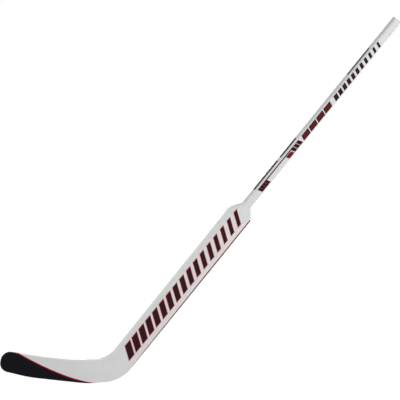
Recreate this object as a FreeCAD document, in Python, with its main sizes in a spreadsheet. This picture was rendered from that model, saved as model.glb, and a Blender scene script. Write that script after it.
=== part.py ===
import FreeCAD, Part
import math
import os
import Sketcher
from FreeCAD import Placement, Rotation, Vector

# A hockey goalie stick in playing position. The middle of the sole stands on the ice at the origin,
# the toe points to -X, the handle leans towards +X, and the convex, back-hand face looks towards -Y.
# Handle pieces are laid out on the handle's own axes: x across the shaft towards the heel side, z up
# the shaft from the point where its centre line meets the ice.

os.makedirs("parts", exist_ok=True)
doc = FreeCAD.newDocument("goalie_stick")
dims = doc.addObject("Spreadsheet::Sheet", "dims")

# Driving dimensions in millimetres and degrees
driving_dimensions = [
    ("lie_angle", "120", "angle between the sole and the handle"),
    ("axis_foot", "142", "middle of the sole to where the handle's centre line meets the ice"),
    ("shaft_width", "26", "wide face of the shaft"),
    ("shaft_thickness", "20", "narrow face of the shaft"),
    ("shaft_end", "1413", "ice to butt along the centre line"),
    ("core_thickness", "8", "centre ply of the shaft"),
    ("laminate", "0.8", "glass laminate on shaft, paddle and blade"),
    ("edge_radius", "3.5", "rounding of the long edges"),
    ("butt_radius", "3", "rounding of the butt end"),
    ("rim_limit", "0.45", "largest share of a rim that one rounding may take"),
    ("throat_height", "696", "ice to where the heel-side shoulder leaves the shaft"),
    ("toe_throat_drop", "3", "how much lower the toe-side shoulder leaves the shaft"),
    ("throat_radius", "14", "hollow between shaft and shoulder"),
    ("toe_shoulder_length", "35", "height of the toe-side shoulder"),
    ("toe_shoulder_radius", "27", "rounded corner of the toe-side shoulder"),
    ("heel_shoulder_length", "30", "height of the heel-side shoulder"),
    ("heel_shoulder_radius", "5", "corner of the heel-side shoulder"),
    ("toe_edge_at_throat", "39.8", "centre line to the toe-side edge, at the shoulder"),
    ("toe_edge_at_heel", "37", "centre line to the toe-side edge, at the blade joint"),
    ("heel_edge", "44", "centre line to the heel-side edge"),
    ("spine_margin", "7", "flat band of the paddle on each side of the shaft"),
    ("rim_thickness", "10", "paddle thickness at the heel-side edge, below the throat"),
    ("joint_height", "150", "ice to the joint between paddle and blade along the centre line"),
    ("rail_width", "10", "hardwood rail along the paddle's edge"),
    ("block_length", "290", "shoulder blocks, down from the top of the throat"),
    ("tongue_length", "90", "blade tongue in the fork of the shaft core"),
    ("tongue_root", "6", "tongue thickness at the joint"),
    ("tongue_tip", "1.5", "tongue thickness at its tip"),
    ("blade_root_thickness", "14", "blade thickness at the heel"),
    ("blade_toe_thickness", "9.5", "blade thickness at the toe"),
    ("curve_start", "130", "middle of the sole to where the blade starts to curve"),
    ("curve_depth", "13", "how far the curve carries the toe back"),
    ("toe_reach", "190.5", "middle of the sole to the toe"),
    ("toe_bottom_radius", "29", "lower corner of the toe"),
    ("toe_top_radius", "28", "upper corner of the toe"),
    ("heel_rocker_start", "97", "middle of the sole to the heel-side bend of the sole"),
    ("heel_rocker_angle", "10", "rise of the sole towards the heel"),
    ("heel_rocker_radius", "320", "bend of the sole towards the heel"),
    ("toe_rocker_start", "93", "middle of the sole to the toe-side bend of the sole"),
    ("toe_rocker_angle", "6.3", "rise of the sole towards the toe"),
    ("toe_rocker_radius", "450", "bend of the sole towards the toe"),
    ("heel_radius", "106", "outer curve of the heel"),
    ("inner_heel_radius", "96", "inner curve between blade and paddle"),
    ("waist_height", "68.4", "height of the blade at its waist"),
    ("waist_toe", "67", "middle of the sole to the toe end of the waist"),
    ("waist_heel", "41", "middle of the sole to the heel end of the waist"),
    ("waist_radius", "500", "bends of the top edge at both ends of the waist"),
    ("top_rise_to_toe", "1.6", "slope of the top edge from the waist to the toe"),
    ("top_rise_to_heel", "7.6", "slope of the top edge from the waist to the heel"),
    ("sole_strip_height", "6", "wear strip along the sole"),
    ("stiffener_height", "36", "ice to the middle of the stiffener"),
    ("stiffener_width", "20", "carbon stiffener strip"),
    ("stiffener_thickness", "1", "depth of the stiffener in the blade core"),
    ("stiffener_to_toe", "135", "middle of the sole to the toe end of the stiffener"),
    ("stiffener_to_heel", "125", "middle of the sole to the heel end of the stiffener"),
]
for row, (alias, value, meaning) in enumerate(driving_dimensions, start=1):
    dims.set(f"A{row}", meaning)
    dims.set(f"B{row}", value)
    dims.setAlias(f"B{row}", alias)
doc.recompute()


def size(alias):
    return float(getattr(dims, alias))


# The handle's own axes, and the sizes that several pieces share
UPRIGHT = "rotation(vector(0; 1; 0); 0)"
HANDLE = "placement(vector(dims.axis_foot; 0; 0); rotation(vector(0; 1; 0); dims.lie_angle - 90))"
handle = Placement(Vector(size("axis_foot"), 0, 0), Rotation(Vector(0, 1, 0), size("lie_angle") - 90))
ROUNDING = (
    "min(dims.edge_radius; dims.rim_limit * dims.rim_thickness; "
    "dims.rim_limit * dims.blade_toe_thickness)"
)
rounding = min(
    size("edge_radius"),
    size("rim_limit") * size("rim_thickness"),
    size("rim_limit") * size("blade_toe_thickness"),
)
half_shaft = size("shaft_width") / 2
half_thickness = size("shaft_thickness") / 2
throat_top = size("throat_height") + size("throat_radius")
toe_throat = size("throat_height") - size("toe_throat_drop")
HALF_SHAFT = "dims.shaft_width / 2"
THROAT_TOP = "dims.throat_height + dims.throat_radius"
BLOCK_FOOT = f"{THROAT_TOP} - dims.block_length"
SIDE = "dims.heel_edge + dims.toe_edge_at_throat"
steep = math.cos(math.radians(45))


def on_handle(x, z):
    """A point of the stick's middle plane, given on the handle's axes."""
    return handle.multVec(Vector(x, 0, z))


def slope(angle):
    """Direction in the stick's middle plane that rises by angle towards +X."""
    return Vector(math.cos(math.radians(angle)), 0, math.sin(math.radians(angle)))


def meeting(first_point, first_direction, second_point, second_direction):
    """Where two lines of the stick's middle plane cross."""
    between = second_point - first_point
    turn = first_direction.x * second_direction.z - first_direction.z * second_direction.x
    share = (between.x * second_direction.z - between.z * second_direction.x) / turn
    return first_point + first_direction * share


def rounded_outline(corners):
    """A closed wire through corners of (point, radius), with a tangent arc wherever a radius is given."""
    starts = []
    ends = []
    edges = []
    for number, (point, radius) in enumerate(corners):
        before = corners[number - 1][0] - point
        after = corners[(number + 1) % len(corners)][0] - point
        if radius == 0:
            starts.append(point)
            ends.append(point)
            edges.append(None)
            continue
        half_angle = before.getAngle(after) / 2
        room = min(before.Length, after.Length) / 2
        reach = min(radius / math.tan(half_angle), room)
        used_radius = reach * math.tan(half_angle)
        towards_before = Vector(before).normalize()
        towards_after = Vector(after).normalize()
        inward = (towards_before + towards_after).normalize()
        start = point + towards_before * reach
        end = point + towards_after * reach
        middle = point + inward * (used_radius / math.sin(half_angle) - used_radius)
        starts.append(start)
        ends.append(end)
        edges.append(Part.Arc(start, middle, end).toShape())
    outline = []
    for number, edge in enumerate(edges):
        if edge is not None:
            outline.append(edge)
        following = (number + 1) % len(corners)
        if (ends[number] - starts[following]).Length > Part.Precision.confusion():
            outline.append(Part.makeLine(ends[number], starts[following]))
    return Part.Wire(outline)


def profile(name, wire, placement=None):
    """A face in the document, drawn from a wire."""
    feature = doc.addObject("Part::Feature", name)
    feature.Shape = Part.Face(wire)
    if placement:
        feature.setExpression("Placement", placement)
    return feature


def section(name, wire):
    """A loft section across the handle."""
    feature = doc.addObject("Part::Feature", name)
    feature.Shape = wire
    feature.setExpression("Placement", HANDLE)
    return feature


def extrusion(name, base, direction, length, symmetric):
    feature = doc.addObject("Part::Extrusion", name)
    feature.Base = base
    feature.DirMode = "Custom"
    feature.Dir = direction
    feature.setExpression("LengthFwd", length)
    feature.Symmetric = symmetric
    feature.Solid = True
    return feature


def boolean(kind, name, base, tool):
    feature = doc.addObject(f"Part::{kind}", name)
    feature.Base = base
    feature.Tool = tool
    feature.Label = name
    return feature


def mirrored(name, source):
    """The same shape on the other side of the stick's middle plane."""
    feature = doc.addObject("Part::Mirroring", name)
    feature.Source = source
    feature.Normal = Vector(0, 1, 0)
    feature.Label = name
    return feature


def handle_zone(name, across, through, along):
    """A box on the handle's axes; each pair holds the expressions of its low and high side."""
    box = doc.addObject("Part::Box", name)
    for side_name, (low, high) in zip(("Length", "Width", "Height"), (across, through, along)):
        box.setExpression(side_name, f"({high}) - ({low})")
    corner = f"vector({across[0]}; {through[0]}; {along[0]})"
    box.setExpression("Placement", f"{HANDLE} * placement({corner}; {UPRIGHT})")
    return box


def round_rims(name, base, ends):
    """Rounds each edge between a broad face and a side wall, but not on the (point, normal) end planes."""
    doc.recompute()
    picked = []
    for number, edge in enumerate(base.Shape.Edges, start=1):
        middle = edge.valueAt((edge.FirstParameter + edge.LastParameter) / 2)
        if any(abs((middle - point).dot(normal)) < rounding / 2 for point, normal in ends):
            continue
        facings = []
        for face in base.Shape.ancestorsOfType(edge, Part.Face):
            u, v = face.Surface.parameter(middle)
            facings.append(abs(face.normalAt(u, v).y))
        if min(facings) < steep < max(facings):
            picked.append((number, rounding, rounding))
    fillet = doc.addObject("Part::Fillet", name)
    fillet.Base = base
    fillet.Edges = picked
    return fillet


# Shaft: a straight laminated bar with rounded long edges and a rounded butt end
shaft_bar = doc.addObject("PartDesign::Body", "shaft_bar")
shaft_bar.setExpression("Placement", HANDLE)
origin_planes = {plane.Role: plane for plane in shaft_bar.Origin.OriginFeatures}
shaft_sketch = shaft_bar.newObject("Sketcher::SketchObject", "shaft_sketch")
shaft_sketch.AttachmentSupport = [(origin_planes["XY_Plane"], "")]
shaft_sketch.MapMode = "FlatFace"
shaft_sketch.setExpression("AttachmentOffset.Base.z", THROAT_TOP)
shaft_corners = [
    Vector(-half_shaft, -half_thickness),
    Vector(half_shaft, -half_thickness),
    Vector(half_shaft, half_thickness),
    Vector(-half_shaft, half_thickness),
]
START, END = range(1, 3)
ORIGIN = -START
for number, corner in enumerate(shaft_corners):
    shaft_sketch.addGeometry(Part.LineSegment(corner, shaft_corners[(number + 1) % 4]))
for number in range(4):
    shaft_sketch.addConstraint(Sketcher.Constraint("Coincident", number, END, (number + 1) % 4, START))
for number, direction in enumerate(("Horizontal", "Vertical", "Horizontal", "Vertical")):
    shaft_sketch.addConstraint(Sketcher.Constraint(direction, number))
shaft_sketch.addConstraint(Sketcher.Constraint("Symmetric", 0, START, 2, START, ORIGIN, START))
width = shaft_sketch.addConstraint(
    Sketcher.Constraint("DistanceX", 0, START, 0, END, size("shaft_width"))
)
shaft_sketch.setExpression(f"Constraints[{width}]", "dims.shaft_width")
depth = shaft_sketch.addConstraint(
    Sketcher.Constraint("DistanceY", 1, START, 1, END, size("shaft_thickness"))
)
shaft_sketch.setExpression(f"Constraints[{depth}]", "dims.shaft_thickness")
shaft_pad = shaft_bar.newObject("PartDesign::Pad", "shaft_pad")
shaft_pad.Profile = shaft_sketch
shaft_pad.setExpression("Length", f"dims.shaft_end - ({THROAT_TOP})")
doc.recompute()
long_edges = [
    f"Edge{number}"
    for number, edge in enumerate(shaft_pad.Shape.Edges, start=1)
    if abs(edge.tangentAt(edge.FirstParameter).z) > steep
]
long_rounding = shaft_bar.newObject("PartDesign::Fillet", "long_rounding")
long_rounding.Base = (shaft_pad, long_edges)
long_rounding.setExpression("Radius", ROUNDING)
doc.recompute()
butt_edges = [
    f"Edge{number}"
    for number, edge in enumerate(long_rounding.Shape.Edges, start=1)
    if edge.BoundBox.ZMin > size("shaft_end") - rounding / 2
]
butt_rounding = shaft_bar.newObject("PartDesign::Fillet", "butt_rounding")
butt_rounding.Base = (long_rounding, butt_edges)
butt_rounding.setExpression("Radius", f"min(dims.butt_radius; ({ROUNDING}) * 2 * dims.rim_limit)")


# Paddle: a board as thick as the shaft along its spine, crowned down to thin rims at the throat, and
# flat and thinner where it meets the blade. Its laminate grows a little thicker towards the rims.
def half_spine(inset):
    """Half the flat band along the spine, on the surface or on the wood under the laminate."""
    return half_shaft + size("spine_margin") - inset / 2


def crowned_section(inset):
    """Closed section at the top of the throat, on the surface or inset; each crown is one arc."""
    top = half_thickness - inset
    drop = half_thickness - size("rim_thickness") / 2
    run = size("heel_edge") - half_spine(inset)
    crown_radius = (run * run + drop * drop) / (2 * drop)
    crown_run = run + rounding
    points = []
    for share in (0, 0.5, 1):
        across = crown_run * share
        height = top - crown_radius + math.sqrt(crown_radius ** 2 - across ** 2)
        points.append((half_spine(inset) + across, height))
    (spine_x, spine_y), (middle_x, middle_y), (outer_x, outer_y) = points

    def at(x, y):
        return Vector(x, y, throat_top)

    edges = [
        Part.makeLine(at(-spine_x, -spine_y), at(spine_x, -spine_y)),
        Part.Arc(at(spine_x, -spine_y), at(middle_x, -middle_y), at(outer_x, -outer_y)).toShape(),
        Part.makeLine(at(outer_x, -outer_y), at(outer_x, outer_y)),
        Part.Arc(at(outer_x, outer_y), at(middle_x, middle_y), at(spine_x, spine_y)).toShape(),
        Part.makeLine(at(spine_x, spine_y), at(-spine_x, spine_y)),
        Part.Arc(at(-spine_x, spine_y), at(-middle_x, middle_y), at(-outer_x, outer_y)).toShape(),
        Part.makeLine(at(-outer_x, outer_y), at(-outer_x, -outer_y)),
        Part.Arc(at(-outer_x, -outer_y), at(-middle_x, -middle_y), at(-spine_x, -spine_y)).toShape(),
    ]
    return Part.Wire(edges), outer_x


def flat_section(inset, outer_x):
    """Closed section at the blade joint, cut into the same eight stretches as the crowned one."""
    top = size("blade_root_thickness") / 2 - inset
    spine_x = half_spine(inset)
    stations = [
        (-spine_x, -top), (spine_x, -top), (outer_x, -top), (outer_x, top),
        (spine_x, top), (-spine_x, top), (-outer_x, top), (-outer_x, -top),
    ]
    points = [Vector(x, y, size("joint_height")) for x, y in stations]
    return Part.makePolygon(points + points[:1])


def paddle_loft(name, inset):
    crowned, outer_x = crowned_section(inset)
    loft = doc.addObject("Part::Loft", name)
    loft.Sections = [
        section(f"{name}_joint", flat_section(inset, outer_x)),
        section(f"{name}_throat", crowned),
    ]
    loft.Solid = True
    loft.Ruled = True
    return loft


heel_shoulder_foot = size("throat_height") - size("heel_shoulder_length")
toe_shoulder_foot = toe_throat - size("toe_shoulder_length")
paddle_corners = [
    (Vector(half_shaft, 0, throat_top), 0),
    (Vector(half_shaft, 0, size("throat_height")), size("throat_radius")),
    (Vector(size("heel_edge"), 0, heel_shoulder_foot), size("heel_shoulder_radius")),
    (Vector(size("heel_edge"), 0, size("joint_height")), 0),
    (Vector(-size("toe_edge_at_heel"), 0, size("joint_height")), 0),
    (Vector(-size("toe_edge_at_throat"), 0, toe_shoulder_foot), size("toe_shoulder_radius")),
    (Vector(-half_shaft, 0, toe_throat), size("throat_radius")),
    (Vector(-half_shaft, 0, throat_top), 0),
]
paddle_face = profile("paddle_face", rounded_outline(paddle_corners), HANDLE)
paddle_block = extrusion("paddle_block", paddle_face, Vector(0, 1, 0), "2 * dims.shaft_thickness", True)
paddle_full = boolean("Common", "paddle_full", paddle_block, paddle_loft("paddle_surface", 0))
handle_up = handle.Rotation.multVec(Vector(0, 0, 1))
joint_plane = (on_handle(0, size("joint_height")), handle_up)
throat_plane = (on_handle(0, throat_top), handle_up)
paddle_envelope = round_rims("paddle_envelope", paddle_full, [joint_plane, throat_plane])


# Blade: a curved slab, thinner towards the toe, inside an outline with a rockered sole and a rounded toe
def blade_face(at_heel, at_toe):
    """Plan-view edges of one face of the blade; past the start of the curve it bends on one arc."""
    start_x = size("curve_start")
    rise = size("curve_depth") + at_toe - at_heel
    run = start_x + size("toe_reach")
    bend_radius = (run * run + rise * rise) / (2 * rise)
    full_run = run + size("blade_toe_thickness")
    points = []
    for share in (0, 0.5, 1):
        along = full_run * share
        bend = bend_radius - math.sqrt(bend_radius ** 2 - along ** 2)
        points.append(Vector(start_x - along, at_heel + bend))
    behind_heel = Vector(size("axis_foot") + size("joint_height"), at_heel)
    return [Part.makeLine(behind_heel, points[0]), Part.Arc(*points).toShape()]


def blade_slab(name, first_face, second_face):
    """A curved slab between two faces, each given by its distance off the middle plane at heel and toe."""
    first = blade_face(*first_face)
    second = blade_face(*second_face)
    toe_end = Part.makeLine(first[1].Vertexes[-1].Point, second[1].Vertexes[-1].Point)
    heel_end = Part.makeLine(second[0].Vertexes[0].Point, first[0].Vertexes[0].Point)
    outline = Part.Wire([*first, toe_end, *reversed(second), heel_end])
    plan = profile(f"{name}_plan", outline)
    return extrusion(name, plan, Vector(0, 0, 1), "2 * dims.joint_height", False)


toe_side_edge = on_handle(-size("toe_edge_at_heel"), size("joint_height"))
heel_side_edge = on_handle(size("heel_edge"), size("joint_height"))
toe_edge_direction = on_handle(-size("toe_edge_at_throat"), toe_shoulder_foot) - toe_side_edge
heel_bend = Vector(size("heel_rocker_start"), 0, 0)
toe_bend = Vector(-size("toe_rocker_start"), 0, 0)
waist_heel = Vector(size("waist_heel"), 0, size("waist_height"))
waist_toe = Vector(-size("waist_toe"), 0, size("waist_height"))
toe_tip = Vector(-size("toe_reach"), 0, 0)
upright = Vector(0, 0, 1)
sole_to_heel = slope(size("heel_rocker_angle"))
sole_to_toe = slope(-size("toe_rocker_angle"))
top_to_heel = slope(size("top_rise_to_heel"))
top_to_toe = slope(-size("top_rise_to_toe"))
blade_corners = [
    (heel_side_edge, 0),
    (meeting(heel_side_edge, handle_up, heel_bend, sole_to_heel), size("heel_radius")),
    (heel_bend, size("heel_rocker_radius")),
    (toe_bend, size("toe_rocker_radius")),
    (meeting(toe_bend, sole_to_toe, toe_tip, upright), size("toe_bottom_radius")),
    (meeting(waist_toe, top_to_toe, toe_tip, upright), size("toe_top_radius")),
    (waist_toe, size("waist_radius")),
    (waist_heel, size("waist_radius")),
    (meeting(waist_heel, top_to_heel, toe_side_edge, toe_edge_direction), size("inner_heel_radius")),
    (toe_side_edge, 0),
]
blade_outline = profile("blade_outline", rounded_outline(blade_corners))
BLADE_DEPTH = "2 * (dims.curve_depth + dims.blade_root_thickness)"
blade_block = extrusion("blade_block", blade_outline, Vector(0, 1, 0), BLADE_DEPTH, True)
root = size("blade_root_thickness") / 2
toe = size("blade_toe_thickness") / 2
skin = size("laminate")
strip = skin + size("stiffener_thickness")
outer_front = (-root, -toe)
inner_front = (skin - root, skin - toe)
strip_back = (strip - root, strip - toe)
inner_back = (root - skin, toe - skin)
outer_back = (root, toe)
blade_surface = blade_slab("blade_surface", outer_front, outer_back)
blade_full = boolean("Common", "blade_full", blade_block, blade_surface)
blade_envelope = round_rims("blade_envelope", blade_full, [joint_plane])

# Wood and foam under the laminates
BEYOND = "dims.shaft_thickness"
LAMINATED = "dims.shaft_thickness / 2 - dims.laminate"
CORE = "dims.core_thickness / 2"
TOE_RAIL = "dims.toe_edge_at_heel - dims.rail_width"
HEEL_RAIL = "dims.heel_edge - dims.rail_width"
SHAFT_RUN = (THROAT_TOP, "dims.shaft_end")
WHOLE_RUN = ("dims.joint_height", "dims.shaft_end")
PADDLE_RUN = ("dims.joint_height", THROAT_TOP)
FOAM_RUN = ("dims.joint_height", BLOCK_FOOT)
BLOCK_RUN = (BLOCK_FOOT, THROAT_TOP)
ACROSS_SHAFT = (f"-{HALF_SHAFT}", HALF_SHAFT)
ACROSS_PADDLE = (f"-({SIDE})", SIDE)
THROUGH = (f"-{BEYOND}", BEYOND)
FRONT_HALF = (f"-{BEYOND}", "0")

shaft_inside = handle_zone("shaft_inside", ACROSS_SHAFT, (f"-({LAMINATED})", LAMINATED), SHAFT_RUN)
shaft_wood = boolean("Common", "shaft_wood", shaft_bar, shaft_inside)
paddle_inside = boolean("Common", "paddle_inside", paddle_full, paddle_loft("paddle_inner_surface", skin))
front_half = handle_zone("front_half", ACROSS_PADDLE, FRONT_HALF, PADDLE_RUN)
paddle_front = boolean("Common", "paddle_front", paddle_envelope, front_half)
paddle_front_wood = boolean("Common", "paddle_front_wood", paddle_front, paddle_inside)
paddle_back_wood = mirrored("paddle_back_wood", paddle_front_wood)
paddle_wood = boolean("Fuse", "paddle_wood", paddle_front_wood, paddle_back_wood)
handle_wood = boolean("Fuse", "handle_wood", shaft_wood, paddle_wood)

# Tongue of the blade, a wedge glued into the forked foot of the shaft core
tongue = doc.addObject("Part::Wedge", "tongue")
tongue_sides = {
    "Xmin": f"-{HALF_SHAFT}", "Xmax": HALF_SHAFT, "X2min": f"-{HALF_SHAFT}", "X2max": HALF_SHAFT,
    "Ymin": "0", "Ymax": "dims.tongue_length",
    "Zmin": "-dims.tongue_root / 2", "Zmax": "dims.tongue_root / 2",
    "Z2min": "-dims.tongue_tip / 2", "Z2max": "dims.tongue_tip / 2",
}
for side_name, expression in tongue_sides.items():
    tongue.setExpression(side_name, expression)
UP_THE_SHAFT = "placement(vector(0; 0; dims.joint_height); rotation(vector(1; 0; 0); 90))"
tongue.setExpression("Placement", f"{HANDLE} * {UP_THE_SHAFT}")

# Shaft: three plies from butt to heel, and a laminate on each wide face
core_zone = handle_zone("core_zone", ACROSS_SHAFT, (f"-{CORE}", CORE), WHOLE_RUN)
front_ply_zone = handle_zone("front_ply_zone", ACROSS_SHAFT, (f"-{BEYOND}", f"-{CORE}"), WHOLE_RUN)
back_ply_zone = handle_zone("back_ply_zone", ACROSS_SHAFT, (CORE, BEYOND), WHOLE_RUN)
UNDER_FRONT = (f"-{BEYOND}", f"-({LAMINATED})")
front_laminate_zone = handle_zone("front_laminate_zone", ACROSS_SHAFT, UNDER_FRONT, SHAFT_RUN)
back_laminate_zone = handle_zone("back_laminate_zone", ACROSS_SHAFT, (LAMINATED, BEYOND), SHAFT_RUN)
core_blank = boolean("Common", "core_blank", handle_wood, core_zone)
shaft_core = boolean("Cut", "shaft_core", core_blank, tongue)
shaft_ply_front = boolean("Common", "shaft_ply_front", handle_wood, front_ply_zone)
shaft_ply_back = boolean("Common", "shaft_ply_back", handle_wood, back_ply_zone)
shaft_laminate_front = boolean("Common", "shaft_laminate_front", shaft_bar, front_laminate_zone)
shaft_laminate_back = boolean("Common", "shaft_laminate_back", shaft_bar, back_laminate_zone)

# Paddle: on each side of the shaft a shoulder block, foam and a hardwood rail, under two laminate skins
sides = {
    "toe_side": (f"-({SIDE})", f"-({TOE_RAIL})", f"-{HALF_SHAFT}"),
    "heel_side": (SIDE, HEEL_RAIL, HALF_SHAFT),
}
paddle_pieces = []
for side_name, (outside, rail_line, shaft_line) in sides.items():
    pieces = {
        "shoulder_block": ((shaft_line, outside), BLOCK_RUN),
        "paddle_foam": ((shaft_line, rail_line), FOAM_RUN),
        "paddle_rail": ((rail_line, outside), FOAM_RUN),
    }
    for piece_name, (across, along) in pieces.items():
        low_to_high = across if side_name == "heel_side" else across[::-1]
        zone = handle_zone(f"{piece_name}_{side_name}_zone", low_to_high, THROUGH, along)
        paddle_pieces.append(boolean("Common", f"{piece_name}_{side_name}", paddle_wood, zone))
paddle_skin_front = boolean("Cut", "paddle_skin_front", paddle_front, paddle_inside)
paddle_skin_back = mirrored("paddle_skin_back", paddle_skin_front)

# Blade: heel block, sole strip and core with a stiffener let into it, between two laminate skins
front_skin_slab = blade_slab("front_skin_slab", outer_front, inner_front)
core_slab = blade_slab("core_slab", inner_front, inner_back)
back_skin_slab = blade_slab("back_skin_slab", inner_back, outer_back)
blade_skin_front = boolean("Common", "blade_skin_front", blade_envelope, front_skin_slab)
blade_skin_back = boolean("Common", "blade_skin_back", blade_envelope, back_skin_slab)
blade_inside = boolean("Common", "blade_inside", blade_envelope, core_slab)
HEEL_RUN = ("-dims.joint_height", "dims.joint_height")
heel_zone = handle_zone("heel_zone", (HALF_SHAFT, SIDE), THROUGH, HEEL_RUN)
heel_block = boolean("Common", "heel_block", blade_inside, heel_zone)
blade_wood = boolean("Cut", "blade_wood", blade_inside, heel_zone)
LIFTED = f"placement(vector(0; 0; dims.sole_strip_height); {UPRIGHT})"
lifted_outline = profile("lifted_outline", rounded_outline(blade_corners), LIFTED)
lifted_block = extrusion("lifted_block", lifted_outline, Vector(0, 1, 0), BLADE_DEPTH, True)
blade_sole_strip = boolean("Cut", "blade_sole_strip", blade_wood, lifted_block)
stiffener_zone = doc.addObject("Part::Box", "stiffener_zone")
stiffener_zone.setExpression("Length", "dims.stiffener_to_toe + dims.stiffener_to_heel")
stiffener_zone.setExpression("Width", BLADE_DEPTH)
stiffener_zone.setExpression("Height", "dims.stiffener_width")
STIFFENER_FOOT = "dims.stiffener_height - dims.stiffener_width / 2"
STIFFENER_CORNER = f"vector(-dims.stiffener_to_toe; -({BLADE_DEPTH}) / 2; {STIFFENER_FOOT})"
stiffener_zone.setExpression("Placement", f"placement({STIFFENER_CORNER}; {UPRIGHT})")
stiffener_slab = blade_slab("stiffener_slab", inner_front, strip_back)
blade_stiffener = boolean("Common", "blade_stiffener", stiffener_zone, stiffener_slab)
blade_blank = boolean("Common", "blade_blank", blade_wood, lifted_block)
grooved_blank = boolean("Cut", "grooved_blank", blade_blank, blade_stiffener)
blade_core = boolean("Fuse", "blade_core", grooved_blank, tongue)

# Check every feature, then write each piece to its own file
doc.recompute()
pieces = [
    shaft_core, shaft_ply_front, shaft_ply_back, shaft_laminate_front, shaft_laminate_back,
    *paddle_pieces, paddle_skin_front, paddle_skin_back,
    heel_block, blade_core, blade_stiffener, blade_sole_strip, blade_skin_front, blade_skin_back,
]
failed = [feature.Name for feature in doc.Objects if {"Invalid", "Error"} & set(feature.State)]
for piece in pieces:
    if piece.Shape.isNull() or not piece.Shape.isValid() or len(piece.Shape.Solids) != 1:
        failed.append(piece.Label)
if failed:
    raise RuntimeError("these features failed: " + ", ".join(failed))
for piece in pieces:
    piece.Shape.exportStep(f"parts/{piece.Label}.step")
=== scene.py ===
import math

import bmesh
import bpy
from mathutils import Matrix, Vector
from mathutils.bvhtree import BVHTree


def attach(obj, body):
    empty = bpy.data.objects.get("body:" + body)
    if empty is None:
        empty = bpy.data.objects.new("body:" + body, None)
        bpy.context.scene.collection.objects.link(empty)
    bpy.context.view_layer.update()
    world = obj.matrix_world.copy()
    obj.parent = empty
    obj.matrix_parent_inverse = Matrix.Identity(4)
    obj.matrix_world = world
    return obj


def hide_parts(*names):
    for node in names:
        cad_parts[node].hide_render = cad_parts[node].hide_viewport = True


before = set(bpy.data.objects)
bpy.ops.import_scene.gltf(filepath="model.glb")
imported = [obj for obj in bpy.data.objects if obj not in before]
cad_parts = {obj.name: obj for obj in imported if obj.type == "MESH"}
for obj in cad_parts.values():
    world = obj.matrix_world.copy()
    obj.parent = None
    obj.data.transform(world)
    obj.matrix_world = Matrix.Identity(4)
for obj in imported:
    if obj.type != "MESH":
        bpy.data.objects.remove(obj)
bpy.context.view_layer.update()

# Shaft core and plies: three strips of light aspen glued face to face, which run from the butt down
# through the paddle. Only their narrow sides show, sanded round and lacquered, and the grain stands up
# a little. Their light grey is painted shade, which fades into white round the corners as painted shading.
HANDLE_TILT = math.radians(30)
SIDE_SHADE_GREY = (0.58, 0.58, 0.59)
SIDE_SHADE_GREY_THIN = (0.53, 0.53, 0.54)
WHITE_LACQUER = (0.78, 0.79, 0.78)
SHADE_BAND_HALF = 0.003
SHADE_FADE_END = 0.009
GRAIN_PITCH = 0.0018
GRAIN_STRETCH = 0.02
GRAIN_DETAIL = 4
GRAIN_RELIEF = 0.00005
WOOD_ROUGHNESS = (0.30, 0.44)
PLAIN_DETAIL = 2
NOISE_LOW = 0.3
NOISE_HIGH = 0.7
# Numbers of the sockets of a colour mix, because several of them share a name
MIX_FACTOR = 0
MIX_FIRST = 6
MIX_SECOND = 7
MIX_RESULT = 2


def new_finish(name):
    """A material with one plain shader, and the place on the stick to draw its pattern from."""
    finish = bpy.data.materials.new(name)
    finish.use_nodes = True
    shader = finish.node_tree.nodes["Principled BSDF"]
    place = add_node(finish, "ShaderNodeTexCoord").outputs["Object"]
    return finish, shader, place


def add_node(finish, kind, **settings):
    node = finish.node_tree.nodes.new(kind)
    for setting, value in settings.items():
        setattr(node, setting, value)
    return node


def link(finish, source, socket):
    finish.node_tree.links.new(source, socket)


def stretched(finish, place, tilt, shares):
    """The place on axes turned by a tilt about Y, with each of them shortened to a share."""
    turn = add_node(finish, "ShaderNodeMapping")
    link(finish, place, turn.inputs["Vector"])
    turn.inputs["Rotation"].default_value = (0, -tilt, 0)
    squeeze = add_node(finish, "ShaderNodeVectorMath", operation="MULTIPLY")
    link(finish, turn.outputs["Vector"], squeeze.inputs[0])
    squeeze.inputs[1].default_value = shares
    return squeeze.outputs["Vector"]


def cloudy(finish, place, pitch, detail=PLAIN_DETAIL):
    """Soft noise between 0 and 1 whose clouds are about a pitch across."""
    noise = add_node(finish, "ShaderNodeTexNoise")
    link(finish, place, noise.inputs["Vector"])
    noise.inputs["Scale"].default_value = 1 / pitch
    noise.inputs["Detail"].default_value = detail
    return noise.outputs["Fac"]


def spread(finish, noise, low=0, high=1):
    """Stretches the middle of a noise over the values from low to high."""
    stretch = add_node(finish, "ShaderNodeMapRange")
    link(finish, noise, stretch.inputs["Value"])
    stretch.inputs["From Min"].default_value = NOISE_LOW
    stretch.inputs["From Max"].default_value = NOISE_HIGH
    stretch.inputs["To Min"].default_value = low
    stretch.inputs["To Max"].default_value = high
    return stretch.outputs["Result"]


def between(finish, factor, first, second):
    """A colour that goes from the first to the second with the factor."""
    mix = add_node(finish, "ShaderNodeMix", data_type="RGBA")
    link(finish, factor, mix.inputs[MIX_FACTOR])
    mix.inputs[MIX_FIRST].default_value = (*first, 1)
    mix.inputs[MIX_SECOND].default_value = (*second, 1)
    return mix.outputs[MIX_RESULT]


def relief(finish, shader, height, depth):
    """Raises the surface by a depth in metres where the height is 1, on top of any relief before."""
    bump = add_node(finish, "ShaderNodeBump")
    bump.inputs["Distance"].default_value = depth
    link(finish, height, bump.inputs["Height"])
    if shader.inputs["Normal"].is_linked:
        link(finish, shader.inputs["Normal"].links[0].from_socket, bump.inputs["Normal"])
    link(finish, bump.outputs["Normal"], shader.inputs["Normal"])


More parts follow.
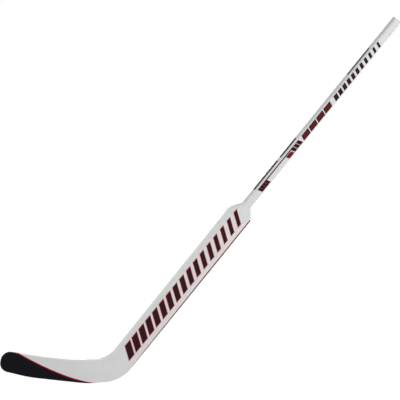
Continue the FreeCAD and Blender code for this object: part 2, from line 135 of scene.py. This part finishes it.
def lacquer_on_wood(name, thick, thin, tilt):
    """Lacquer straight on sanded wood, thinner on the ridges of a grain that runs at a tilt to upright."""
    finish, shader, place = new_finish(name)
    along_the_grain = stretched(finish, place, tilt, (1, 1, GRAIN_STRETCH))
    grain = cloudy(finish, along_the_grain, GRAIN_PITCH, GRAIN_DETAIL)
    colour = between(finish, spread(finish, grain), thick, thin)
    link(finish, colour, shader.inputs["Base Color"])
    link(finish, spread(finish, grain, *WOOD_ROUGHNESS), shader.inputs["Roughness"])
    relief(finish, shader, grain, GRAIN_RELIEF)
    return finish


def fade_painted_shade_at_corners(finish, corner_colour):
    """Fades the painted shade of a lacquer into another colour where it runs out round the corners of the
    shaft.
    """
    shader = finish.node_tree.nodes["Principled BSDF"]
    lacquer = shader.inputs["Base Color"].links[0].from_socket
    place = add_node(finish, "ShaderNodeSeparateXYZ")
    link(finish, add_node(finish, "ShaderNodeTexCoord").outputs["Object"], place.inputs["Vector"])
    from_middle = add_node(finish, "ShaderNodeMath", operation="ABSOLUTE")
    link(finish, place.outputs["Y"], from_middle.inputs[0])
    fade = add_node(finish, "ShaderNodeMapRange", interpolation_type="SMOOTHSTEP")
    link(finish, from_middle.outputs["Value"], fade.inputs["Value"])
    fade.inputs["From Min"].default_value = SHADE_BAND_HALF
    fade.inputs["From Max"].default_value = SHADE_FADE_END
    faded = between(finish, fade.outputs["Result"], corner_colour, corner_colour)
    link(finish, lacquer, faded.node.inputs[MIX_FIRST])
    link(finish, faded, shader.inputs["Base Color"])


def coat(finish, *node_names):
    for node_name in node_names:
        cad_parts[node_name].material_slots[0].material = finish


# The light grey on the narrow sides is painted shade; it fades into white round the corners as painted
# shading.
side_shade_lacquer = lacquer_on_wood("side_painted_shade_lacquer", SIDE_SHADE_GREY, SIDE_SHADE_GREY_THIN, HANDLE_TILT)
fade_painted_shade_at_corners(side_shade_lacquer, WHITE_LACQUER)
coat(side_shade_lacquer, "shaft_core", "shaft_ply_front", "shaft_ply_back")

# Shaft laminates: a layer of glass cloth in resin on each wide face of the shaft, sanded flush with
# the plies and sprayed with white gloss lacquer. The weave of the cloth shows through very faintly.
WHITE_LACQUER_THIN = (0.74, 0.75, 0.74)
LAMINATE_ROUGHNESS = (0.26, 0.38)
CLOUD_PITCH = 0.05
CLOUD_DETAIL = 5
PEEL_PITCH = 0.0025
PEEL_RELIEF = 0.000006
CLOTH_PITCH = 0.0016
CLOTH_RELIEF = 0.000005
WAVE_TURNS_PER_SCALE = 20 / (2 * math.pi)


def threads(finish, place, direction):
    """Ridges of the threads of the cloth that lie side by side in one direction of the handle."""
    wave = add_node(finish, "ShaderNodeTexWave", bands_direction=direction)
    link(finish, stretched(finish, place, HANDLE_TILT, (1, 1, 1)), wave.inputs["Vector"])
    wave.inputs["Scale"].default_value = 1 / (WAVE_TURNS_PER_SCALE * CLOTH_PITCH)
    return wave.outputs["Fac"]


laminate_lacquer, shader, place = new_finish("white_laminate_lacquer")
clouds = cloudy(laminate_lacquer, place, CLOUD_PITCH, CLOUD_DETAIL)
white = between(laminate_lacquer, spread(laminate_lacquer, clouds), WHITE_LACQUER, WHITE_LACQUER_THIN)
link(laminate_lacquer, white, shader.inputs["Base Color"])
dull_or_bright = spread(laminate_lacquer, clouds, *LAMINATE_ROUGHNESS)
link(laminate_lacquer, dull_or_bright, shader.inputs["Roughness"])
relief(laminate_lacquer, shader, cloudy(laminate_lacquer, place, PEEL_PITCH), PEEL_RELIEF)
relief(laminate_lacquer, shader, threads(laminate_lacquer, place, "X"), CLOTH_RELIEF)
relief(laminate_lacquer, shader, threads(laminate_lacquer, place, "Z"), CLOTH_RELIEF)
coat(laminate_lacquer, "shaft_laminate_front", "shaft_laminate_back")

# Shoulder blocks and rails: hardwood glued to both sides of the shaft and along the paddle's edges,
# shaped with the paddle and sprayed with the same white lacquer, here straight on the sanded wood.
rail_lacquer = lacquer_on_wood("white_rail_lacquer", WHITE_LACQUER, WHITE_LACQUER_THIN, HANDLE_TILT)
coat(rail_lacquer, "shoulder_block_toe_side", "shoulder_block_heel_side")
coat(rail_lacquer, "paddle_rail_toe_side", "paddle_rail_heel_side")

# Paddle foam: two boards of rigid closed-cell foam between shaft, rails and skins, which keep the
# paddle light. They are sawn from sheet, so cut cells cover them.
FOAM = (0.72, 0.63, 0.42)
FOAM_CELL = (0.55, 0.46, 0.28)
CELL_PITCH = 0.0012
CELL_RELIEF = 0.0003
FOAM_ROUGHNESS = 0.95
sawn_foam, shader, place = new_finish("sawn_foam")
shader.inputs["Roughness"].default_value = FOAM_ROUGHNESS
cells = add_node(sawn_foam, "ShaderNodeTexVoronoi")
link(sawn_foam, place, cells.inputs["Vector"])
cells.inputs["Scale"].default_value = 1 / CELL_PITCH
cell_colour = between(sawn_foam, cells.outputs["Distance"], FOAM_CELL, FOAM)
link(sawn_foam, cell_colour, shader.inputs["Base Color"])
relief(sawn_foam, shader, cells.outputs["Distance"], CELL_RELIEF)
coat(sawn_foam, "paddle_foam_toe_side", "paddle_foam_heel_side")

# Paddle skins: one sheet of glass laminate over each broad face, from the blade joint to the throat,
# pressed over the crown, trimmed into the rounded rims and sprayed white.
coat(laminate_lacquer, "paddle_skin_front", "paddle_skin_back")

# Heel block: a hardwood corner that carries the paddle's heel-side edge round into the sole, glued
# on beside the blade core and lacquered white.
coat(rail_lacquer, "heel_block")

# Blade stiffener: a strip of woven carbon let into the blade core under the front skin, which keeps
# the long blade from twisting.
CARBON = (0.012, 0.012, 0.013)
CARBON_TOW = (0.05, 0.05, 0.053)
TOW_PITCH = 0.002
CARBON_ROUGHNESS = (0.3, 0.45)
woven_carbon, shader, place = new_finish("woven_carbon")
tows = add_node(woven_carbon, "ShaderNodeTexChecker")
link(woven_carbon, place, tows.inputs["Vector"])
tows.inputs["Scale"].default_value = 1 / TOW_PITCH
tow_colour = between(woven_carbon, tows.outputs["Fac"], CARBON, CARBON_TOW)
link(woven_carbon, tow_colour, shader.inputs["Base Color"])
tow_sheen = spread(woven_carbon, tows.outputs["Fac"], *CARBON_ROUGHNESS)
link(woven_carbon, tow_sheen, shader.inputs["Roughness"])
coat(woven_carbon, "blade_stiffener")

# Blade core, sole strip and skins: a curved wooden core with a hard strip along the sole, between two
# glass skins. They are lacquered white as one, then the toe is masked along a sweeping line and
# sprayed black, with a red border line along the mask.
BLADE_TILT = math.radians(90)
BORDER_LOWER_EDGE = {"middle": 0.0209, "fall": 0.268, "bend": 0.46, "levelling": 0.85}
BORDER_UPPER_EDGE = {"middle": 0.0240, "fall": 0.262, "bend": 0.53, "levelling": 0.45}
BORDER_LEVELS_FROM = 0.02
BORDER_TOE_END = -0.20
BORDER_HEEL_END = 0.13
BORDER_STEPS = 22
TOE_BLACK = (0.005, 0.005, 0.008)
TOE_BLACK_DUSTY = (0.009, 0.008, 0.012)
BORDER_RED = (0.48, 0.011, 0.024)
BORDER_RED_DEEP = (0.40, 0.009, 0.019)
COAT_ROUGHNESS = 0.34
ROUGHNESS_DRIFT = 0.06
SPRAY_PITCH = 0.0009
SPRAY_DETAIL = 3
SPRAY_RELIEF = 0.000012
SPRAY_SHINE = 0.05
ON_THE_LINE = 0.000002


def sprayed(name, colour, second_colour, roughness):
    """A sprayed or printed coat with a fine dusty grain and less shine than the lacquer."""
    finish, shader, place = new_finish(name)
    shader.inputs["Specular IOR Level"].default_value = SPRAY_SHINE
    dust = cloudy(finish, place, SPRAY_PITCH, SPRAY_DETAIL)
    dusty = between(finish, spread(finish, dust), colour, second_colour)
    link(finish, dusty, shader.inputs["Base Color"])
    clouds = cloudy(finish, place, CLOUD_PITCH)
    drift = spread(finish, clouds, roughness - ROUGHNESS_DRIFT, roughness + ROUGHNESS_DRIFT)
    link(finish, drift, shader.inputs["Roughness"])
    relief(finish, shader, dust, SPRAY_RELIEF)
    return finish


def border_height(along, middle, fall, bend, levelling):
    """Height of an edge of the border line along the blade, a shallow bow that levels out to the heel."""
    past = max(0, along - BORDER_LEVELS_FROM)
    return middle - fall * along + bend * along ** 2 + levelling * past ** 2


def cut(shape, faces, point, normal):
    """Cuts some faces of a shape along a plane."""
    corners = {vertex for face in faces for vertex in face.verts}
    sides = {edge for face in faces for edge in face.edges}
    bmesh.ops.bisect_plane(
        shape, geom=[*corners, *sides, *faces], dist=ON_THE_LINE, plane_co=point, plane_no=normal,
    )


def cut_along_border(shape):
    """Cuts a blade piece along both edges of the border line, in short straight steps."""
    step = (BORDER_HEEL_END - BORDER_TOE_END) / BORDER_STEPS
    stops = [BORDER_TOE_END + number * step for number in range(BORDER_STEPS + 1)]
    for stop in stops:
        cut(shape, shape.faces[:], (stop, 0, 0), (1, 0, 0))
    for edge in (BORDER_LOWER_EDGE, BORDER_UPPER_EDGE):
        for start, end in zip(stops, stops[1:]):
            strip = [face for face in shape.faces if start < face.calc_center_median().x < end]
            start_height = border_height(start, **edge)
            end_height = border_height(end, **edge)
            cut(shape, strip, (start, 0, start_height), (start_height - end_height, 0, end - start))


def paint_toe(node_name, piece_name, white):
    """A copy of a blade piece with white, red and black lacquer on either side of the border line."""
    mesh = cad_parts[node_name].data.copy()
    mesh.name = piece_name
    mesh.materials.clear()
    for finish in (white, border_lacquer, toe_lacquer):
        mesh.materials.append(finish)
    smooth = mesh.attributes.new("smooth_normal", "FLOAT_VECTOR", "CORNER")
    for corner, normal in zip(smooth.data, mesh.corner_normals):
        corner.vector = normal.vector
    shape = bmesh.new()
    shape.from_mesh(mesh)
    cut_along_border(shape)
    for face in shape.faces:
        middle = face.calc_center_median()
        heights = [border_height(middle.x, **edge) for edge in (BORDER_UPPER_EDGE, BORDER_LOWER_EDGE)]
        face.material_index = sum(middle.z < height for height in heights)
    shape.to_mesh(mesh)
    shape.free()
    normals = [corner.vector.normalized() for corner in mesh.attributes["smooth_normal"].data]
    mesh.attributes.remove(mesh.attributes["smooth_normal"])
    mesh.normals_split_custom_set(normals)
    piece = bpy.data.objects.new(piece_name, mesh)
    bpy.context.scene.collection.objects.link(piece)
    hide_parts(node_name)
    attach(piece, "root")


toe_lacquer = sprayed("toe_black_lacquer", TOE_BLACK, TOE_BLACK_DUSTY, COAT_ROUGHNESS)
border_lacquer = sprayed("border_red_lacquer", BORDER_RED, BORDER_RED_DEEP, COAT_ROUGHNESS)
blade_lacquer = lacquer_on_wood("white_blade_lacquer", WHITE_LACQUER, WHITE_LACQUER_THIN, BLADE_TILT)
paint_toe("blade_core", "blade_core_painted", blade_lacquer)
paint_toe("blade_sole_strip", "blade_sole_strip_painted", blade_lacquer)
paint_toe("blade_skin_front", "blade_skin_front_painted", laminate_lacquer)
paint_toe("blade_skin_back", "blade_skin_back_painted", laminate_lacquer)

# Paddle print: a row of slanted bars that grow narrower towards the shaft, each dark bar on a red one
# that shows as a keyline. They are thin films of ink, screen-printed on the lacquer of both faces.
AXIS_FOOT = 0.142
OXBLOOD = (0.028, 0.007, 0.011)
OXBLOOD_THIN = (0.040, 0.010, 0.015)
KEYLINE_RED = (0.70, 0.16, 0.18)
KEYLINE_RED_THIN = (0.75, 0.21, 0.23)
INK_ROUGHNESS = 0.36
FILM = 0.00005
CLEAR_OF_FACETS = 0.00009
LAY_ACROSS = 0.002
# No cut at this step falls on the blade joint, where a ray could slip in between two skins
LAY_ALONG = 0.012
FAR_OUT = 0.2
KEYLINE = 0.0018
BAR_TOE_SIDE = -0.024
BAR_HEEL_SIDE = 0.022
BAR_SLANT = -0.028
BARS_START = 0.135
BAR_PITCH = 0.0323
BAR_WIDEST = 0.0275
BAR_NARROWEST = 0.0165
BAR_COUNT = 17


def on_stick(across, out, along):
    """A point in the stick's frame, from its place across, out of and along the handle."""
    return Vector((
        AXIS_FOOT + across * math.cos(HANDLE_TILT) + along * math.sin(HANDLE_TILT),
        out,
        along * math.cos(HANDLE_TILT) - across * math.sin(HANDLE_TILT),
    ))


INWARD = {
    "front": Vector((0, 1, 0)),
    "back": Vector((0, -1, 0)),
    "toe": on_stick(1, 0, 0) - on_stick(0, 0, 0),
}


def whole_surface():
    """Every face of the stick, to lay films on."""
    points = []
    faces = []
    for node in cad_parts.values():
        faces += [[len(points) + corner for corner in face.vertices] for face in node.data.polygons]
        points += [vertex.co.copy() for vertex in node.data.vertices]
    return BVHTree.FromPolygons(points, faces)


def cut_every(shape, step, direction):
    """Cuts flat outlines into strips, so that they can follow a curved face."""
    reach = [vertex.co.dot(direction) for vertex in shape.verts]
    for number in range(math.floor(min(reach) / step) + 1, math.ceil(max(reach) / step)):
        cut(shape, shape.faces[:], direction * (number * step), direction)


def print_film(name, outlines, ink, layer=0, side="front"):
    """Lays outlines drawn across and along the handle on the stick's front, back or narrow toe side."""
    shape = bmesh.new()
    for outline in outlines:
        shape.faces.new([shape.verts.new((across, 0, along)) for across, along in outline])
    cut_every(shape, LAY_ACROSS, Vector((1, 0, 0)))
    cut_every(shape, LAY_ALONG, Vector((0, 0, 1)))
    inward = INWARD[side]
    for vertex in shape.verts:
        across, along = vertex.co.x, vertex.co.z
        inside = on_stick(0, across, along) if side == "toe" else on_stick(across, 0, along)
        place = stick_surface.ray_cast(inside - inward * FAR_OUT, inward)[0]
        vertex.co = place - inward * (CLEAR_OF_FACETS + layer * FILM)
    for face in shape.faces:
        face.normal_update()
        if face.normal.dot(inward) > 0:
            face.normal_flip()
    mesh = bpy.data.meshes.new(name)
    shape.to_mesh(mesh)
    shape.free()
    mesh.materials.append(ink)
    film = bpy.data.objects.new(name, mesh)
    bpy.context.scene.collection.objects.link(film)
    thickness = film.modifiers.new("film", "SOLIDIFY")
    thickness.thickness = FILM
    thickness.offset = 1
    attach(film, "root")


def slanted_bar(toe_side, heel_side, start, width, slant, inset=0):
    """Corners of a bar across the handle, which starts at its toe-side end and rises by a slant."""
    rise = slant / (heel_side - toe_side)
    ends = [(toe_side + inset, inset * rise), (heel_side - inset, slant - inset * rise)]
    low = [(across, start + lift + inset) for across, lift in ends]
    high = [(across, start + lift + width - inset) for across, lift in ends]
    return low + high[::-1]


def thinning(widest, narrowest, count):
    """Widths of a row of bars that thin out evenly."""
    return [widest + (narrowest - widest) * number / (count - 1) for number in range(count)]


def row_of_starts(first, pitch, count):
    """Places along the handle at which the bars of a row start."""
    return [first + number * pitch for number in range(count)]


stick_surface = whole_surface()
oxblood_ink = sprayed("oxblood_ink", OXBLOOD, OXBLOOD_THIN, INK_ROUGHNESS)
keyline_ink = sprayed("keyline_ink", KEYLINE_RED, KEYLINE_RED_THIN, INK_ROUGHNESS)
bar_starts = row_of_starts(BARS_START, BAR_PITCH, BAR_COUNT)
bar_widths = thinning(BAR_WIDEST, BAR_NARROWEST, BAR_COUNT)
keylines = []
bars = []
for start, width in zip(bar_starts, bar_widths):
    keylines.append(slanted_bar(BAR_TOE_SIDE, BAR_HEEL_SIDE, start, width, BAR_SLANT))
    bars.append(slanted_bar(BAR_TOE_SIDE, BAR_HEEL_SIDE, start, width, BAR_SLANT, KEYLINE))
for side in ("front", "back"):
    print_film("paddle_keylines_" + side, keylines, keyline_ink, side=side)
    print_film("paddle_bars_" + side, bars, oxblood_ink, layer=1, side=side)

# Paddle edge stripe: a dark red pinstripe just inside the heel-side edge of both faces, from the
# shoulder down to the heel, where it runs out to a point. It is a film of ink too.
STRIPE_RED = (0.22, 0.008, 0.011)
STRIPE_RED_THIN = (0.26, 0.011, 0.015)
STRIPE_TOP = 0.666
STRIPE_TAPER_START = 0.500
STRIPE_FOOT = 0.180
STRIPE_POINT = 0.095
STRIPE_WIDTH = 0.0043
STRIPE_FOOT_WIDTH = 0.0025
STRIPE_TOP_LINE = 0.0385
STRIPE_FOOT_LINE = 0.0398


def stripe_line(along):
    """Place of the middle of the stripe across the handle, which leans in a little towards the shaft."""
    share = (along - STRIPE_FOOT) / (STRIPE_TOP - STRIPE_FOOT)
    return STRIPE_FOOT_LINE + (STRIPE_TOP_LINE - STRIPE_FOOT_LINE) * share


stripe_widths = [
    (STRIPE_FOOT, STRIPE_FOOT_WIDTH),
    (STRIPE_TAPER_START, STRIPE_WIDTH),
    (STRIPE_TOP, STRIPE_WIDTH),
]
heel_side_edge = [(stripe_line(along) + width / 2, along) for along, width in stripe_widths]
toe_side_edge = [(stripe_line(along) - width / 2, along) for along, width in reversed(stripe_widths)]
stripe = [(stripe_line(STRIPE_POINT), STRIPE_POINT), *heel_side_edge, *toe_side_edge]
stripe_ink = sprayed("stripe_ink", STRIPE_RED, STRIPE_RED_THIN, INK_ROUGHNESS)
for side in ("front", "back"):
    print_film("paddle_edge_stripe_" + side, [stripe], stripe_ink, side=side)

# Shaft print: a group of slanted bars above the throat, a thin line from it up to a red block with more
# bars, a row of framed red blocks, and bars that thin out towards the butt. They are films of ink too,
# screen-printed the same on both faces.
SHAFT_TOE_SIDE = -0.0090
SHAFT_HEEL_SIDE = 0.0086
SHAFT_SLANT = -0.006
SLASH_SLANT = 0.005
SLASH_GROUPS = [
    {"first": 0.7505, "pitch": 0.0101, "width": 0.0099, "count": 4},
    {"first": 0.9060, "pitch": 0.0132, "width": 0.0118, "count": 3},
]
SLASH_KEYLINE = 0.0008
LINE_TOE_SIDE = -0.0090
LINE_HEEL_SIDE = -0.0052
LINE_START = 0.790
LINE_LENGTH = 0.118
RED_BLOCK_TOE_SIDE = -0.0040
RED_BLOCK_START = 0.880
RED_BLOCK_LENGTH = 0.0235
FRAMED_START = 0.960
FRAMED_PITCH = 0.0345
FRAMED_WIDTH = 0.0310
FRAMED_COUNT = 4
FRAME_LINE = 0.0030
FADE_START = 1.112
FADE_PITCH = 0.0205
FADE_WIDEST = 0.0155
FADE_NARROWEST = 0.0085
FADE_COUNT = 11
INK_RED = (0.17, 0.007, 0.010)
INK_RED_THIN = (0.21, 0.010, 0.014)
MAROON = (0.115, 0.008, 0.014)
MAROON_THIN = (0.145, 0.011, 0.019)


def shaft_bar(start, width, inset=0, toe_side=SHAFT_TOE_SIDE, slant=SHAFT_SLANT):
    return slanted_bar(toe_side, SHAFT_HEEL_SIDE, start, width, slant, inset)


red_ink = sprayed("red_ink", INK_RED, INK_RED_THIN, INK_ROUGHNESS)
maroon_ink = sprayed("maroon_ink", MAROON, MAROON_THIN, INK_ROUGHNESS)
slash_keylines = []
slashes = []
for group in SLASH_GROUPS:
    for start in row_of_starts(group["first"], group["pitch"], group["count"]):
        slash_keylines.append(shaft_bar(start, group["width"], slant=SLASH_SLANT))
        slashes.append(shaft_bar(start, group["width"], SLASH_KEYLINE, slant=SLASH_SLANT))
framed_starts = row_of_starts(FRAMED_START, FRAMED_PITCH, FRAMED_COUNT)
frames = [shaft_bar(start, FRAMED_WIDTH) for start in framed_starts]
panels = [shaft_bar(start, FRAMED_WIDTH, FRAME_LINE) for start in framed_starts]
fade_starts = row_of_starts(FADE_START, FADE_PITCH, FADE_COUNT)
fade_widths = thinning(FADE_WIDEST, FADE_NARROWEST, FADE_COUNT)
fading = [shaft_bar(start, width) for start, width in zip(fade_starts, fade_widths)]
thin_line = slanted_bar(LINE_TOE_SIDE, LINE_HEEL_SIDE, LINE_START, LINE_LENGTH, 0)
red_block = shaft_bar(
    RED_BLOCK_START, RED_BLOCK_LENGTH, toe_side=RED_BLOCK_TOE_SIDE, slant=SLASH_SLANT,
)
for side in ("front", "back"):
    print_film("shaft_red_print_" + side, [red_block, *slash_keylines], red_ink, side=side)
    print_film("shaft_bars_" + side, [*slashes, *frames, *fading], oxblood_ink, layer=1, side=side)
    print_film("shaft_line_and_panels_" + side, [thin_line, *panels], maroon_ink, layer=2, side=side)

# Shaft side bars: three long dark grey bars down the middle of the narrow toe-side face, over the grey
# of the plies, which is painted shade. They are films of ink like the print on the faces.
INK_GREY = (0.034, 0.034, 0.036)
INK_GREY_THIN = (0.046, 0.046, 0.048)
SIDE_INK_ROUGHNESS = 0.4
SIDE_BAR_MIDDLE = 0.0013
SIDE_BARS = [
    {"start": 0.745, "length": 0.112, "width": 0.0104},
    {"start": 0.870, "length": 0.074, "width": 0.0098},
    {"start": 1.190, "length": 0.103, "width": 0.0078},
]
grey_ink = sprayed("grey_ink", INK_GREY, INK_GREY_THIN, SIDE_INK_ROUGHNESS)
side_bars = []
for bar in SIDE_BARS:
    front = SIDE_BAR_MIDDLE - bar["width"] / 2
    back = SIDE_BAR_MIDDLE + bar["width"] / 2
    side_bars.append(slanted_bar(front, back, bar["start"], bar["length"], 0))
print_film("shaft_side_bars", side_bars, grey_ink, side="toe")

# Floor and surroundings: a white sweep that the camera and reflections see as plain white, with the
# stick's own soft shadow on it, in a bright room.
FLOOR_REACH = 150
FLOOR_WHITE = (0.9, 0.9, 0.9, 1)
SHADOW_SHARE = 0.15
SWEEP_GLOW = 1.12
ROOM_LIGHT = 0.375
floor_mesh = bpy.data.meshes.new("floor")
floor_corners = [(-1, -1), (1, -1), (1, 1), (-1, 1)]
floor_points = [(x * FLOOR_REACH, y * FLOOR_REACH, 0) for x, y in floor_corners]
floor_mesh.from_pydata(floor_points, [], [range(len(floor_points))])
floor = bpy.data.objects.new("floor", floor_mesh)
bpy.context.scene.collection.objects.link(floor)


def seen_directly(surroundings):
    """1 for the camera, for reflections and for what shows through glass, 0 for light that bounces."""
    path = add_node(surroundings, "ShaderNodeLightPath")
    seen = path.outputs["Is Camera Ray"]
    for ray in ("Is Glossy Ray", "Is Transmission Ray"):
        either = add_node(surroundings, "ShaderNodeMath", operation="MAXIMUM")
        link(surroundings, seen, either.inputs[0])
        link(surroundings, path.outputs[ray], either.inputs[1])
        seen = either.outputs["Value"]
    return seen


sweep = bpy.data.materials.new("white_sweep")
sweep.use_nodes = True
matt = sweep.node_tree.nodes["Principled BSDF"]
matt.inputs["Base Color"].default_value = FLOOR_WHITE
matt.inputs["Roughness"].default_value = 1
matt.inputs["Specular IOR Level"].default_value = 0
glow = add_node(sweep, "ShaderNodeEmission")
glow.inputs["Strength"].default_value = SWEEP_GLOW
share = add_node(sweep, "ShaderNodeMath", operation="MULTIPLY")
link(sweep, seen_directly(sweep), share.inputs[0])
share.inputs[1].default_value = 1 - SHADOW_SHARE
cover = add_node(sweep, "ShaderNodeMixShader")
link(sweep, share.outputs["Value"], cover.inputs[0])
link(sweep, matt.outputs["BSDF"], cover.inputs[1])
link(sweep, glow.outputs["Emission"], cover.inputs[2])
link(sweep, cover.outputs["Shader"], sweep.node_tree.nodes["Material Output"].inputs["Surface"])
floor_mesh.materials.append(sweep)

room = bpy.data.worlds.new("bright_room")
room.use_nodes = True
bpy.context.scene.world = room
walls = room.node_tree.nodes["Background"]
walls.inputs["Color"].default_value = (1, 1, 1, 1)
brightness = add_node(room, "ShaderNodeMapRange")
link(room, seen_directly(room), brightness.inputs["Value"])
brightness.inputs["To Min"].default_value = ROOM_LIGHT
brightness.inputs["To Max"].default_value = 1
link(room, brightness.outputs["Result"], walls.inputs["Strength"])

# Lamps: a soft box with a grid low on the right, aimed at the paddle so that the light falls off
# towards the toe, a weaker one on the left that lifts the narrow sides and the toe-side rims, and one
# behind the stick for its back.
SOFT_BOX_SIZE = 1.2
GRID_SPREAD = math.radians(150)
SOFT_BOXES = {
    "right_soft_box": {"stand": (2.15, -1.4, 0.8), "aim": (0.3, 0, 0.4), "power": 18.5},
    "left_soft_box": {"stand": (-1.5, -0.1, 1.5), "aim": (0.45, 0, 0.65), "power": 13},
    "back_soft_box": {"stand": (0.95, 2.3, 0.65), "aim": (0.4, 0, 0.6), "power": 11},
}


def soft_box(name, stand, aim, power):
    lamp = bpy.data.lights.new(name, "AREA")
    lamp.size = SOFT_BOX_SIZE
    lamp.spread = GRID_SPREAD
    lamp.energy = power
    box = bpy.data.objects.new(name, lamp)
    box.location = stand
    box.rotation_euler = (Vector(aim) - Vector(stand)).to_track_quat("-Z", "Y").to_euler()
    bpy.context.scene.collection.objects.link(box)


for name, settings in SOFT_BOXES.items():
    soft_box(name, **settings)

# Camera: a very long lens on the left of the convex face and a little above it, turned about its own
# axis so that the handle leans to the upper right corner of the picture.
AIM = Vector((0.3353, 0, 0.6024))
TURN_TO_TOE_SIDE = math.radians(27.98)
HANDLE_SLOPE = math.radians(50.90)
DISTANCE = 40
LENS = 1200
FAR_CLIP = 400
lens = bpy.data.cameras.new("camera")
lens.lens = LENS
lens.clip_end = FAR_CLIP
camera = bpy.data.objects.new("camera", lens)
along_handle = on_stick(0, 0, 1) - on_stick(0, 0, 0)
beside_handle = INWARD["front"] * math.sin(TURN_TO_TOE_SIDE) - INWARD["toe"] * math.cos(TURN_TO_TOE_SIDE)
picture_right = along_handle * math.cos(HANDLE_SLOPE) - beside_handle * math.sin(HANDLE_SLOPE)
picture_up = along_handle * math.sin(HANDLE_SLOPE) + beside_handle * math.cos(HANDLE_SLOPE)
towards_camera = picture_right.cross(picture_up)
turn = Matrix((picture_right, picture_up, towards_camera)).transposed()
camera.matrix_world = Matrix.Translation(AIM + towards_camera * DISTANCE) @ turn.to_4x4()
bpy.context.scene.collection.objects.link(camera)
bpy.context.scene.camera = camera
bpy.context.scene.view_settings.view_transform = "Standard"
